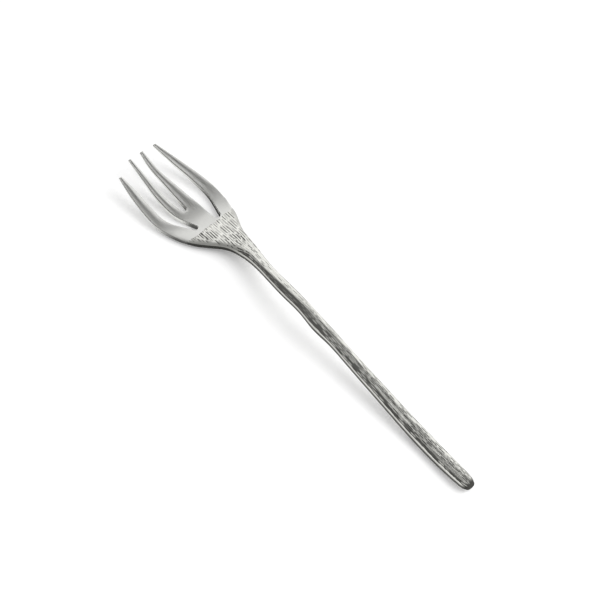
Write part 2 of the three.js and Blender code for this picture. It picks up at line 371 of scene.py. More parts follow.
# %% Edges of the head, flat
rim_clear = 0.002                       # keeps the fine rim inside the solid's straight facets


def steps(start, stop):
    """Values from start to just before stop, evenly spread."""
    count = max(2, math.ceil(abs(stop - start) / outline_step))
    return np.linspace(start, stop, count, endpoint=False)


def run_along(start, stop, edge):
    """Points on an edge, from one place to just before another."""
    u = steps(start, stop)
    return np.stack([u, edge(u)], axis=-1)


def run_across(u, start, stop):
    """Points straight across the head, from one side to just before another."""
    w = steps(start, stop)
    return np.stack([np.full(len(w), u), w], axis=-1)


def near_rim(u):
    return head_outline(neck_at + u) - rim_clear


def far_rim(u):
    return -near_rim(u)


def near_tang(u):
    return tang_width(neck_at + u) / 2


def far_tang(u):
    return -near_tang(u)


print("half width of the rim at the mouth", round(float(near_rim(flare_length)), 3), "mm")

# %% Outline of the head, flat
tail, shoulder, front = tang_end - neck_at, mouth_edge - neck_at, mouth_at - neck_at
back_part = [
    run_along(tail, shoulder, far_tang),
    run_along(shoulder, front, far_tang),
    run_across(front, far_tang(front), far_rim(front)),
    run_along(front, tine_tips[-1], far_rim),
]
cut_part = []
reached = far_rim(tine_tips[-1])
for tine in range(len(slots), 0, -1):
    wall = walls[tine - 1]
    cut_part.append(run_across(tine_tips[tine], reached, wall["far"](tine_tips[tine])))
    cut_part.append(run_along(tine_tips[tine], wall["round_at"], wall["far"]))
    cut_part.append(wall["round_end"])
    cut_part.append(run_along(wall["round_at"], tine_tips[tine - 1], wall["near"]))
    reached = wall["near"](tine_tips[tine - 1])
cut_part.append(run_across(tine_tips[0], reached, near_rim(tine_tips[0])))
home_part = [
    run_along(tine_tips[0], front, near_rim),
    run_across(front, near_rim(front), near_tang(front)),
    run_along(front, shoulder, near_tang),
    run_along(shoulder, tail, near_tang),
    run_across(tail, near_tang(tail), far_tang(tail)),
]
outline = np.concatenate(back_part + cut_part + home_part)
cut_from = sum(len(part) for part in back_part)
cut_to = cut_from + sum(len(part) for part in cut_part)
print("outline of", len(outline), "points, of which", cut_to - cut_from, "on slots and tips")

# %% Distances and insides
chunk = 1000                            # points handled at once


def distance_to(points, starts, stops):
    """Distance from each point to the nearest of the straight pieces from starts to stops."""
    run = stops - starts
    length = (run**2).sum(axis=-1)
    found = []
    for first in range(0, len(points), chunk):
        offset = points[first:first + chunk, None] - starts
        share = np.clip((offset * run).sum(axis=-1) / length, 0, 1)
        gap = offset - share[..., None] * run
        found.append(np.sqrt((gap**2).sum(axis=-1).min(axis=1)))
    return np.concatenate(found)


def lies_inside(points, starts, stops):
    """Which points lie inside the closed outline: a line to the left crosses it an odd number of times."""
    run = stops - starts
    found = []
    for first in range(0, len(points), chunk):
        u = points[first:first + chunk, 0, None]
        w = points[first:first + chunk, 1, None]
        spans = (starts[:, 1] > w) != (stops[:, 1] > w)
        climb = np.where(run[:, 1] == 0, 1, run[:, 1])
        meets = starts[:, 0] + run[:, 0] * (w - starts[:, 1]) / climb
        found.append((spans & (u > meets)).sum(axis=1) % 2 == 1)
    return np.concatenate(found)


starts, stops = outline, np.roll(outline, -1, axis=0)
on_palm_and_past = np.array([[front + 1, 0.0], [max(tine_tips) + 1, 0.0]])
print("the palm is inside, a place past the tips isn't:", lies_inside(on_palm_and_past, starts, stops))

# %% Rows of points along the edges
edge_round = 0.35                       # radius of the polished edges
row_depths = edge_round * np.array([0.03, 0.1, 0.22, 0.4, 0.65, 1.0, 1.5])
row_spread = 0.85                       # a row point this much nearer to another edge is left out
ahead = np.roll(outline, -1, axis=0) - np.roll(outline, 1, axis=0)
inward = np.stack([-ahead[:, 1], ahead[:, 0]], axis=-1)
inward /= np.linalg.norm(inward, axis=-1, keepdims=True)
edge_rows = []
for row_depth in row_depths:
    shifted = outline + row_depth * inward
    clear = distance_to(shifted, starts, stops) > row_spread * row_depth
    edge_rows.append(shifted[clear & lies_inside(shifted, starts, stops)])
print(len(edge_rows), "rows of", sum(len(points) for points in edge_rows), "points")

# %% Fill the outline with triangles
lattice_step = 0.55
lattice_clear = 1.3 * row_depths[-1]    # room between the lattice and the rows
keep_inside = 1                         # the filling keeps only triangles inside the outline
same_point = 1e-6                       # points closer than this are one
u_values = np.arange(tail, max(tine_tips), lattice_step * math.sqrt(3) / 2)
w_values = np.arange(-head_half_width, head_half_width, lattice_step)
lattice = np.array([
    (u, w + (line % 2) * lattice_step / 2) for line, u in enumerate(u_values) for w in w_values
])
lattice = lattice[lies_inside(lattice, starts, stops)]
lattice = lattice[distance_to(lattice, starts, stops) > lattice_clear]
shoulder_rows = [run_across(u, far_tang(u), near_tang(u))[1:] for u in (shoulder, front)]
flat_points = [Vector(point) for point in np.concatenate([outline, *edge_rows, lattice, *shoulder_rows])]
border_face = list(range(len(outline)))
flat, _, triangles, *_ = delaunay_2d_cdt(flat_points, [], [border_face], keep_inside, same_point)
flat = np.array([(point.x, point.y) for point in flat])
triangles = np.array(triangles)
print("head filled with", len(flat), "points and", len(triangles), "triangles")

# %% Top and underside of the plate
tip_round = 0.12                        # radius of the polished edges at the ends of the tines
tip_round_length = 5.0
plain_run = (13.6, 20.0)                # ahead of the neck, where the rounded rim turns into a plain one
crown_run = (22.0, 32.0)                # where the crown of the tines grows
crown_drop = 0.45                       # how far the crown falls towards the edges of a tine
crown_width = 2.4
tip_round_run = (min(tine_tips) - tip_round_length, min(tine_tips))


def lift(flat, from_cut, from_edge):
    """Heights of the top and the underside at points of the plan, by how far they lie from its edges."""
    place = neck_at + flat[:, 0]
    on_plate = np.maximum(place, mouth_edge)
    full = half_thickness(on_plate)
    across = flat[:, 1] / head_outline(on_plate)
    plain = smooth_ramp(flat[:, 0], *plain_run)
    crowned = smooth_ramp(flat[:, 0], *crown_run)
    radius = between(edge_round, tip_round, smooth_ramp(flat[:, 0], *tip_round_run))
    near_edge = np.clip(1 - between(from_cut, from_edge, plain) / radius, 0, 1)
    near_cut = np.clip(1 - from_cut / radius, 0, 1)
    top_worn = radius / full * (1 - np.sqrt(1 - near_edge**2))
    under_worn = radius / full * (1 - np.sqrt(1 - near_cut**2))
    crown = crown_drop * crowned * np.clip(1 - from_edge / crown_width, 0, 1) ** 2
    over, under = squareness(on_plate, top_squareness), squareness(on_plate, mouth_squareness)
    top_share = between(thickness_share(across, over), 1, plain) * (1 - top_worn)
    under_share = thickness_share(across, under) * (1 - under_worn)
    tang_across = 2 * flat[:, 1] / tang_width(place)
    tang = tang_thickness / 2 * thickness_share(tang_across, tang_squareness)
    grown = np.clip((place - mouth_edge) / fit_gap, 0, 1)
    middle = centre_height(place) + head_dish * across**2 * grown
    top = middle + between(tang, full * top_share - crown, grown)
    return top, middle - between(tang, full * under_share, grown)


cuts = slice(cut_from, cut_to)
from_cut = distance_to(flat, starts[cuts], stops[cuts])
from_edge = distance_to(flat, starts, stops)
top_height, under_height = lift(flat, from_cut, from_edge)
print("head is", round(float((top_height - under_height).max()), 2), "mm thick at most")


# %% From points to meshes
def lifted_faces(triangles, thin):
    """Faces of the top, the bottom and the walls. Where the head has no thickness, both share a point."""
    count = len(thin)
    below = np.where(thin, np.arange(count), np.arange(count) + count)
    faces = [list(face) for face in triangles]
    faces += [list(below[face[::-1]]) for face in triangles]
    edges = np.concatenate([triangles[:, [0, 1]], triangles[:, [1, 2]], triangles[:, [2, 0]]])
    known = set(map(tuple, edges))
    for a, b in edges:
        if (b, a) not in known:
            corners = list(dict.fromkeys([a, below[a], below[b], b]))
            if len(corners) > 2:
                faces.append(corners)
    return [[int(corner) for corner in face] for face in faces]


def mesh_piece(name, points, faces, **attributes):
    """New object at the origin, smooth, with float attributes on its points."""
    mesh = bpy.data.meshes.new(name)
    mesh.from_pydata([tuple(point) for point in points], [], faces)
    for label, values in attributes.items():
        store = mesh.attributes.new(label, "FLOAT", "POINT")
        store.data.foreach_set("value", np.asarray(values, np.float32))
    mesh.shade_smooth()
    mesh.validate()
    made = bpy.data.objects.new(name, mesh)
    bpy.context.scene.collection.objects.link(made)
    return made


def drop_loose_points(piece):
    """Deletes points that no face uses."""
    used = np.zeros(len(piece.data.vertices), bool)
    for face in piece.data.polygons:
        used[list(face.vertices)] = True
    mesh = bmesh.new()
    mesh.from_mesh(piece.data)
    mesh.verts.ensure_lookup_table()
    bmesh.ops.delete(mesh, geom=[mesh.verts[i] for i in np.flatnonzero(~used)], context="VERTS")
    mesh.to_mesh(piece.data)
    mesh.free()


print("mesh helpers ready")

# %% [markdown]
# The closed ends of the slots and the near rim of the palm, on top and below, get painted shade: a dark
# that stands in for the shade and the dark reflections there. It could be painted as a picture, but it
# follows the edges, and the distances to them are known already. So each point of the head gets a number for
# the painted shade, and another one for its worn edges.

# %% Painted shade and worn edges of the head
# each slot's walls get painted shade at its closed end: where that fades, where it ends, and how dark it is
wall_fades = ((1.5, 9.0, 1.0), (0.5, 7.0, 0.8), (9.0, 26.0, 1.0))
rim_run = (16, 34)                      # ahead of the neck, where the painted shade on the rim ends
# steps of the painted shade towards the near rim: strength, then start and end as shares of the half width
rim_steps = ((0.4, 0.87, 0.98), (0.5, 0.97, 0.995))
under_rim = (0.55, 0.75)
under_dark = 0.95
edge_wear = 0.7                         # the polish of the edges fades over this distance


def layered(value, layers):
    """Sum of smooth steps, each with its strength, its start and its end."""
    return sum(strength * smooth_ramp(value, start, stop) for strength, start, stop in layers)


wall_shade = np.zeros(len(flat))
for (closed_end, middles, widths), (fade_from, fade_to, darkest) in zip(slots, wall_fades):
    in_slot = np.abs(flat[:, 1] - middles[1]) < widths[1]
    shade = darkest * (1 - smooth_ramp(flat[:, 0] - closed_end, fade_from, fade_to))
    wall_shade = np.where(in_slot, np.maximum(wall_shade, shade), wall_shade)
dark_wall = (from_cut < row_depths[0] / 2) * wall_shade
# painted shade along the near rim of the palm, on top and below, fading out towards the tines
rim_share = flat[:, 1] / head_outline(np.maximum(neck_at + flat[:, 0], mouth_edge))
rim_fade = 1 - smooth_ramp(flat[:, 0], *rim_run)
rim_shade = rim_fade * layered(rim_share, rim_steps)
under_shade = under_dark * rim_fade * smooth_ramp(rim_share, *under_rim)
worn_edge = np.clip(1 - from_edge / edge_wear, 0, 1)
# counts the points of the slot walls that carry painted shade
print("scale on", int((dark_wall > 0).sum()), "points of the slots")

# %% The head as a mesh
no_thickness = 2e-4
flat_place = neck_at + flat[:, 0]
head = mesh_piece(
    "satin_head",
    np.concatenate([
        in_frame(flat_place, flat[:, 1], top_height),
        in_frame(flat_place, flat[:, 1], under_height),
    ]),
    lifted_faces(triangles, top_height - under_height < no_thickness),
    run=np.tile(flat_place, 2) * MM,
    side=np.tile(flat[:, 1], 2) * MM,
    edge=np.tile(worn_edge, 2),
    # painted shade of the slot ends and of the near rim, on the top points and on the underside points
    wall=np.concatenate([np.maximum(dark_wall, rim_shade), np.maximum(under_dark * dark_wall, under_shade)]),
)
drop_loose_points(head)
print(head.name, len(head.data.polygons), "faces")

# %% [markdown]
# The stem is cast like a twig: a round rod with a few swellings, cut off at the heel, that flattens and
# fans out into a mouth round the head. It could be sculpted, or a curve with a bevel, but its section changes
# all the way. So it is a stack of rings on the same spine. The rings run from the heel's cut to the ragged
# edge of the mouth, turn in there, and go on as the socket that takes the tang and its brazing metal.

# %% Rings of the stem
sides = 400                             # points on a ring, from the near side over the top
top_crowding = 0.4                      # how much the points crowd on the top and the bottom
sign_digits = 9                         # rounding, so that the points at both sides count as level
even_angles = 2 * math.pi * np.arange(sides) / sides
angles = even_angles + top_crowding / 2 * np.sin(2 * even_angles)
across = np.cos(angles)
upward = np.sign(np.round(np.sin(angles), sign_digits))


def stem_section(place):
    """Half width, half thickness and lean of the twig at an array of places, swollen by its knots."""
    half_width = np.where(place < flare_middle[0], stem_outline(place), head_outline(place))
    swell = 1.0
    lean = 0.0
    for at, rise, span, knot_lean in knots:
        bump = np.exp(-(((place - at) / span) ** 2))
        swell = swell + bump * rise / half_width
        lean = lean + bump * knot_lean
    return half_width * swell, half_thickness(place) * swell, lean


def ring(place, half_width, half_height, squares, lean=0.0, dish=0.0):
    """One closed ring: its points, and the same points on the straightened stem, in millimetres."""
    place = np.broadcast_to(place, angles.shape)
    side = lean + across * half_width
    over, under = squares
    rise = upward * half_height * thickness_share(across, np.where(upward > 0, over, under))
    points = in_frame(place, side, centre_height(place) + dish * across**2 + rise)
    return points, np.stack([place - neck_at, side, rise], axis=-1)


def stem_ring(place, grow):
    """Ring of the stem's outer face, grown or shrunk on every side."""
    half_width, half_height, lean = stem_section(place)
    dish = head_dish * smooth_ramp(place, neck_at, mouth_at)
    squares = (squareness(place, top_squareness), squareness(place, mouth_squareness))
    return ring(place, half_width + grow, half_height + grow, squares, lean, dish)


print("stem rings of", sides, "points")

# %% Ragged edge of the mouth
tooth_count = 76
tooth_flank = (0.3, 0.7)                # share of a step over which one tooth turns into the next
edge_seed = 7
edge_least = 0.1                        # least overlap past the solid's mouth
tooth_reach = 0.9
near_reach = 0.3                        # the bark reaches further on the near side
near_reach_run = (0.1, 0.8)             # shares of the half width
teeth = np.random.default_rng(edge_seed).random(tooth_count)
tooth_at = angles / (2 * math.pi) * tooth_count
first_tooth = np.floor(tooth_at).astype(int)
next_tooth = (first_tooth + 1) % tooth_count
tooth = between(teeth[first_tooth], teeth[next_tooth], smooth_ramp(tooth_at % 1, *tooth_flank))
near_part = near_reach * smooth_ramp(across, *near_reach_run)
edge_place = mouth_at + edge_least + near_part + tooth_reach * tooth
edge_ends = [round(float(end) - neck_at, 2) for end in (edge_place.min(), edge_place.max())]
print("bark ends", edge_ends[0], "to", edge_ends[1], "mm from the neck")

# %% [markdown]
# Casting leaves a dark oxide on the whole twig, and a short polish takes it off the ridges, but not out of
# the grooves. The flanks get painted shade: dark bands and lines that stand in for the shade and the dark
# reflections along the near and the far side, and the end of the heel is darker. A dark layer could be
# painted on as a picture, but it follows the ring and the place along the stem. So each point gets two
# numbers: how dark the grooves are, and how dark the surface between them is painted. Both use the angle
# round the ring, which is 0 at the near side, 90 on top and negative below.


# %% Masks round the stem
def strip(value, start, stop):
    """1 on a strip, with a soft start and a soft end."""
    return smooth_ramp(value, *start) * (1 - smooth_ramp(value, *stop))


# soft start and soft end of each flank, in degrees
far_flank_run = ((128, 138), (166, 171))
under_flank_run = ((-17, -9), (45, 75))
near_flank_run = ((-50, -35), (20, 30))
# how dark each flank is painted, as painted shade and painted dark reflections: a grey line at the far side,
# a dark line under the near side, and a lighter dark over the near flank
far_flank_dull, under_flank_dull, near_flank_dull = 0.5, 0.8, 0.42
tilt = np.degrees(np.where(angles > math.pi, angles - 2 * math.pi, angles))
below_side = np.where(np.abs(tilt) < 90, -tilt, 180 + tilt)
far_flank = strip(tilt, *far_flank_run)
under_flank = strip(below_side, *under_flank_run) * (tilt < 90)
# on the painted near flank the grooves get no dark, so the painted lines there stay whole
off_near_flank = 1 - strip(tilt, *near_flank_run)
edge_dull = np.maximum(far_flank_dull * far_flank, under_flank_dull * under_flank)
edge_dull = np.maximum(edge_dull, near_flank_dull * (1 - off_near_flank))
print("dull flanks take", round(100 * float((edge_dull > 0).mean())), "percent of a ring's points")

# %% Masks on the flare
side_steps = (0.8, 0.97)                # shares of the half width where the relief gets weaker
side_loss = 0.5
far_ink, near_ink = 0.8, 1.1            # darkness of the grooves on the far and on the near half
near_half = (0.0, 0.5)
# steps of the painted shade towards the sides: strength, then start and end as shares of the half width
near_steps = ((0.26, 0.2, 0.8), (0.32, 0.66, 0.92), (0.37, 0.985, 0.998))
far_steps = ((0.4, 0.8, 0.92), (0.2, 0.955, 0.985))
under_steps = (0.3, 0.5)
side_fade = 1 - side_loss * smooth_ramp(np.abs(across), *side_steps)
flare_ink = side_fade * between(far_ink, near_ink, smooth_ramp(across, *near_half))
# painted shade on the flare: towards the near side on top, on the underside, and towards the far side
flare_dull = np.where(tilt > 0, layered(across, near_steps), smooth_ramp(across, *under_steps))
flare_dull = np.maximum(flare_dull, layered(-across, far_steps))
print("flare grooves from", round(flare_ink.min(), 2), "to", round(flare_ink.max(), 2), "dark")

# %% Masks along the stem
bark_start = (0, 1.5)                   # places from the heel, in millimetres
waist_run = (45, 80)
arch_run = ((84, 96), (128, 138))
throat_run = (neck_at - 18, neck_at - 8)
dull_flare_run = (neck_at - 12, neck_at - 3)
ink_flare_run = (neck_at - 4, neck_at + 4)
heel_ink, waist_ink, throat_ink = 1.0, 0.65, 1.1
arch_loss = 0.75                        # grooves on the band are weaker on the arch
# the end of the heel, its cut face and rim, is darker
heel_cut_run = (0.8, 3.0)
heel_cut_dull = 0.9
# the painted dark band on the near flank stands in for a dark reflection
band_start = (22, 29)                   # degrees up from the near side
band_soft = 9                           # degrees
band_dull = 0.82
# how far up the painted dark band on the near flank goes, in degrees, at places from the heel
band_end_at = curve_through([(0, 52), (34, 61), (64, 75), (95, 86), (112, 80), (128, 62), (mouth_at, 54)])


def near_band(place):
    """1 on the painted dark band along the near flank of the stem."""
    past_end = smooth_ramp(tilt - band_end_at(place), -band_soft, band_soft)
    return smooth_ramp(tilt, *band_start) * (1 - past_end)


def ink_at(place):
    """Darkness of the grooves round the ring at a place."""
    along = between(heel_ink, waist_ink, smooth_ramp(place, *waist_run))
    stem_ink = off_near_flank * between(along, throat_ink, smooth_ramp(place, *throat_run))
    stem_ink = stem_ink * (1 - arch_loss * strip(place, *arch_run) * near_band(place))
    return between(stem_ink, flare_ink, smooth_ramp(place, *ink_flare_run)) * smooth_ramp(place, *bark_start)


def dull_at(place):
    """Painted dark round the ring at a place: painted shade on the flanks and the flare, and the darker end
    of the heel.
    """
    stem_dull = np.maximum(edge_dull, band_dull * near_band(place))
    heel_dull = heel_cut_dull * (1 - smooth_ramp(place, *heel_cut_run))
    return np.maximum(between(stem_dull, flare_dull, smooth_ramp(place, *dull_flare_run)), heel_dull)


print("the band ends", round(float(band_end_at(arch_at))), "degrees up at the arch")

# %% Lip and socket
lip_start = mouth_at - 4.0              # from here the rings bend towards the ragged edge
lip_ease = 1.0                          # the lip is full before the mouth, and thin past it, by this length
lip_edge = 0.04                         # height of the bark's edge over the head
seat_clear = 0.02                       # gap between that edge and the head
socket_room = 2 * fit_gap + filler_thickness


def lip(place):
    """How far the stem stands proud of the head near its mouth."""
    rise = mouth_lip * smooth_ramp(place, neck_at, mouth_at - lip_ease)
    return between(rise, lip_edge, smooth_ramp(place, lip_start, mouth_at + lip_ease))


def socket_ring(place):
    """Ring of the hole that takes the tang."""
    half_width = tang_width(place) / 2 + socket_room
    return ring(place, half_width, tang_thickness / 2 + socket_room, (tang_squareness, tang_squareness))


print("the lip stands", round(float(lip(lip_start)), 2), "mm proud where it bends down")

# %% Stack the rings
stem_step = 0.9
flare_step = 0.45
fine_from = neck_at - 6.0               # from here the rings are close
heel_rim = 0.2                          # rounding of the heel's cut edge
heel_rim_rings = 6
rim_turns = np.linspace(math.pi / 2, 0, heel_rim_rings)
lip_shares = np.array([0, 0.15, 0.3, 0.45, 0.6, 0.72, 0.82, 0.9, 0.96, 0.99, 1.0])
socket_rings = 8
rings, places, masks, inks = [], [], [], []


def stack(made, place, mask=0.0, ink=0.0):
    """Puts a ring on the stack, with its place and its masks on every point."""
    rings.append(made)
    for values, value in ((places, place), (masks, mask), (inks, ink)):
        values.append(np.broadcast_to(value, angles.shape))


for turn in rim_turns:
    place = heel_rim * (1 - math.sin(turn))
    stack(stem_ring(place, -heel_rim * (1 - math.cos(turn))), place)
stem_places = np.arange(heel_rim + stem_step / 2, fine_from, stem_step)
flare_places = np.arange(fine_from, lip_start, flare_step)
for place in np.concatenate([stem_places, flare_places]):
    stack(stem_ring(place, lip(place)), place, side_fade * smooth_ramp(place, *bark_start), ink_at(place))
for share in lip_shares:
    place = between(lip_start, edge_place, share)
    stack(stem_ring(place, lip(place)), place, side_fade * (1 - share**2), flare_ink)
outer_rings = len(rings)
border_place = places[-1]
for place in (edge_place, np.full(sides, mouth_edge)):
    stack(stem_ring(place, seat_clear), border_place)
for place in np.linspace(mouth_edge, tang_end - socket_room, socket_rings):
    stack(socket_ring(place), border_place)
print(len(rings), "rings, of which", outer_rings, "show")

# %% Close the rings into a mesh
fan_run = (neck_at - 14, neck_at - 3)   # where strands of bark turn into the strokes of the flare


def ring_faces(count):
    """Quads between rings, and fans of triangles that close both ends."""
    here = np.arange(sides)
    following = np.roll(here, -1)
    faces = []
    for level in range(count - 1):
        quads = np.stack([here, following, following + sides, here + sides], axis=-1)
        faces += (quads + level * sides).tolist()
    start, stop = count * sides, count * sides + 1
    last = (count - 1) * sides
    faces += [[start, int(b), int(a)] for a, b in zip(here, following)]
    faces += [[last + int(a), last + int(b), stop] for a, b in zip(here, following)]
    return faces


def closed(stacks):
    """Stacked rings, followed by the middles of the first and of the last ring."""
    return np.concatenate([*stacks, [stacks[0].mean(axis=0)], [stacks[-1].mean(axis=0)]])


stem = mesh_piece(
    "bark_twig",
    closed([points for points, _ in rings]),
    ring_faces(len(rings)),
    bark=closed(masks),
    ink=closed(inks),
    # painted dark of the flanks, the flare and the heel's end
    dull=closed([dull_at(place) for place in places]),
    fan=smooth_ramp(closed(places), *fan_run),
)
straightened = closed([straight for _, straight in rings]) * MM
grain_store = stem.data.attributes.new("grain", "FLOAT_VECTOR", "POINT")
grain_store.data.foreach_set("vector", np.asarray(straightened, np.float32).ravel())
border = range((outer_rings - 1) * sides, outer_rings * sides)
for line in stem.data.edges:
    line.use_edge_sharp = line.vertices[0] in border and line.vertices[1] in border
print(stem.name, len(stem.data.polygons), "faces")

# %% [markdown]
# Bark repeats a rule all over the stem: pointed grooves lie in rows along it, each with its own start and its
# own strength. On the flare the rows are strokes side by side, which slant a little. The grooves could be
# modelled one by one, but Geometry Nodes can carve the rule. Each point knows its place on the straightened
# stem, so the rows follow every bend, and the one seam lies below. Between the grooves are shallow hollows,
# and on the painted dark flanks a few bright flecks, which are gaps in that painted shade. The carving only
# goes inwards, so the stem stays inside its CAD solid. What the finish has to show is kept on the points.


# %% Helpers for node trees
def add(tree, kind, inputs=None, **settings):
    """New node, with its settings, and with values or links on its inputs."""
    made = tree.nodes.new(kind)
    for label, value in settings.items():
        setattr(made, label, value)
    for key, value in (inputs or {}).items():
        if isinstance(value, bpy.types.NodeSocket):
            tree.links.new(value, made.inputs[key])
        else:
            made.inputs[key].default_value = value
    return made


def maths(tree, operation, *values):
    """Output of a Math node."""
    return add(tree, "ShaderNodeMath", dict(enumerate(values)), operation=operation).outputs[0]


def mapped(tree, value, low, high, to_low=0.0, to_high=1.0):
    """Smooth step of a value from one range to another."""
    ranges = {"Value": value, "From Min": low, "From Max": high, "To Min": to_low, "To Max": to_high}
    return add(tree, "ShaderNodeMapRange", ranges, interpolation_type="SMOOTHSTEP").outputs["Result"]


def new_tree(name, kind, inputs, outputs):
    """New node group with named sockets, and its input and output nodes."""
    tree = bpy.data.node_groups.new(name, kind)
    for label, (socket, value) in inputs.items():
        made = tree.interface.new_socket(label, in_out="INPUT", socket_type="NodeSocket" + socket)
        if value is not None:
            made.default_value = value
    for label, socket in outputs.items():
        tree.interface.new_socket(label, in_out="OUTPUT", socket_type="NodeSocket" + socket)
    return tree, tree.nodes.new("NodeGroupInput").outputs, tree.nodes.new("NodeGroupOutput").inputs


print("node helpers ready")

# %% Tree for the bark
bark_values = {
    "Groove Depth": 0.025 * MM,
    "Stroke Depth": 0.04 * MM,
    "Hollow Depth": 0.02 * MM,
    "Strands Round": 26.0,
    "Strand Length": 4.2 * MM,
    "Stroke Spacing": 1.02 * MM,
    "Stroke Length": 6.0 * MM,
    "Stroke Slant": 0.21,
    "Wander": 0.5,
    "Seed": 3.0,
}
bark_inputs = {"Geometry": ("Geometry", None)}
bark_inputs.update({label: ("Float", value) for label, value in bark_values.items()})
bark_inputs["Finish"] = ("Material", None)
bark_outputs = {"Geometry": "Geometry"}
bark_tree, asked, carved_out = new_tree("bark_relief", "GeometryNodeTree", bark_inputs, bark_outputs)


def sums(operation, *values):
    """Output of a Math node in the bark tree."""
    return maths(bark_tree, operation, *values)


def point_value(label, kind="FLOAT"):
    """Attribute of the points."""
    read = add(bark_tree, "GeometryNodeInputNamedAttribute", {"Name": label}, data_type=kind)
    return read.outputs["Attribute"]


def vector_from(**parts):
    """Vector with the given parts."""
    return add(bark_tree, "ShaderNodeCombineXYZ", parts).outputs["Vector"]


def parts_of(vector):
    return add(bark_tree, "ShaderNodeSeparateXYZ", {"Vector": vector}).outputs


def blend(factor, first, second):
    return add(bark_tree, "ShaderNodeMix", {"Factor": factor, "A": first, "B": second}).outputs["Result"]


print("bark tree takes", ", ".join(bark_inputs))

# %% Rows across the grain, and steps along it
sway_cloud = {"length": 15 * MM, "width": 5 * MM}


def cloud_at(place, length, width, output):
    """Soft noise with clouds of a given length along the stem and width across it."""
    counts = vector_from(X=1 / length, Y=1 / width, Z=1 / width)
    moves = {0: place, 1: counts, 2: vector_from(X=asked["Seed"])}
    spread = add(bark_tree, "ShaderNodeVectorMath", moves, operation="MULTIPLY_ADD").outputs["Vector"]
    noise = {"Vector": spread, "Scale": 1.0, "Detail": 1.0}
    return add(bark_tree, "ShaderNodeTexNoise", noise).outputs[output]


grain = point_value("grain", "FLOAT_VECTOR")
fan = point_value("fan")
on_grain = parts_of(grain)
sway = parts_of(cloud_at(grain, output="Color", **sway_cloud))
turned = sums("DIVIDE", sums("ARCTAN2", on_grain["Y"], on_grain["Z"]), 2 * math.pi)
strand_row = sums("MULTIPLY", turned, asked["Strands Round"])
slanted = sums("MULTIPLY_ADD", on_grain["X"], asked["Stroke Slant"], on_grain["Y"])
stroke_row = sums("DIVIDE", slanted, asked["Stroke Spacing"])
wandered = sums("MULTIPLY", sway["Y"], asked["Wander"])
long_row = sums("ADD", blend(fan, strand_row, stroke_row), wandered)
strand_step = sums("DIVIDE", on_grain["X"], asked["Strand Length"])
stroke_step = sums("DIVIDE", on_grain["X"], asked["Stroke Length"])
long_step = sums("ADD", blend(fan, strand_step, stroke_step), sway["X"])
print("bark tree so far", len(bark_tree.nodes), "nodes")

# %% Pointed dashes
weakest_dash = 0.55                     # on the flare no dash is missing, but some are weak
chance_soft = 0.15
stem_width, flare_width = 0.97, 0.9     # shares of a dash's half width
stem_core, flare_core = 0.55, 0.4       # shares of that, where the dash has its full depth
point_from = 0.6                        # share of a dash's half length where its point begins


def off_middle(value):
    """Distance from the middle of the whole step that a value lies in."""
    return sums("ABSOLUTE", sums("SUBTRACT", sums("FRACT", value), 0.5))


def dashes(row, step, shift, width, length, missing):
    """Up to 1 on pointed dashes in rows, 0 between them. Each row has its start, each dash its strength."""
    seeded = sums("ADD", sums("FLOOR", row), sums("ADD", asked["Seed"], shift))
    start = add(bark_tree, "ShaderNodeTexWhiteNoise", {"W": seeded}, noise_dimensions="1D").outputs["Value"]
    started = sums("ADD", step, start)
    own = vector_from(X=seeded, Y=sums("FLOOR", started))
    chance = add(bark_tree, "ShaderNodeTexWhiteNoise", {"Vector": own}).outputs["Value"]
    scattered = mapped(bark_tree, chance, missing - chance_soft, missing + chance_soft)
    strength = blend(fan, scattered, mapped(bark_tree, chance, 0.0, 1.0, weakest_dash, 1.0))
    half_width = blend(fan, stem_width * width, flare_width * width)
    core = sums("MULTIPLY", half_width, blend(fan, stem_core, flare_core))
    aside = mapped(bark_tree, off_middle(row), core, half_width, 1.0, 0.0)
    along = mapped(bark_tree, off_middle(started), point_from * length, length, 1.0, 0.0)
    return sums("MULTIPLY", sums("MULTIPLY", aside, along), strength)


print("dash helpers ready")

# %% Grooves, hollows and bright flecks
long_dash = {"shift": 0.0, "width": 0.35, "length": 0.5, "missing": 0.45}
other_dash = {"shift": 20.0, "width": 0.28, "length": 0.48, "missing": 0.6}
fleck_dash = {"shift": 50.0, "width": 0.42, "length": 0.45, "missing": 0.5}
rows_closer, other_offset = 1.37, 0.3    # the second set of dashes has its rows closer and shifted
other_shorter = 1.2
fleck_offset = 0.5                      # flecks lie between the grooves
fleck_shorter = 1.3
stem_other, flare_other = 0.35, 0.7     # strength of the second set
hollow_cloud = {"length": 8 * MM, "width": 0.5 * MM}
hollow_steps = (0.3, 0.7)

other_row = sums("MULTIPLY_ADD", long_row, rows_closer, other_offset)
other_step = sums("MULTIPLY", long_step, other_shorter)
other_strength = blend(fan, stem_other, flare_other)
other_grooves = sums("MULTIPLY", dashes(other_row, other_step, **other_dash), other_strength)
grooves = sums("MAXIMUM", dashes(long_row, long_step, **long_dash), other_grooves)
fleck_row = sums("ADD", long_row, fleck_offset)
fleck_step = sums("MULTIPLY", long_step, fleck_shorter)
off_flare = sums("MULTIPLY", sums("SUBTRACT", 1.0, fan), point_value("ink"))
flecks = sums("MULTIPLY", dashes(fleck_row, fleck_step, **fleck_dash), off_flare)
hollows = mapped(bark_tree, cloud_at(grain, output="Fac", **hollow_cloud), *hollow_steps)
print("bark tree so far", len(bark_tree.nodes), "nodes")

# %% Carving, and what the points keep
least_wear = 0.6                        # a fleck roughens the surface without painted dark by this share too


def stored(geometry, label, value):
    """The geometry, with a value kept on its points."""
    kept = {"Geometry": geometry, "Name": label, "Value": value}
    made = add(bark_tree, "GeometryNodeStoreNamedAttribute", kept, data_type="FLOAT", domain="POINT")
    return made.outputs["Geometry"]


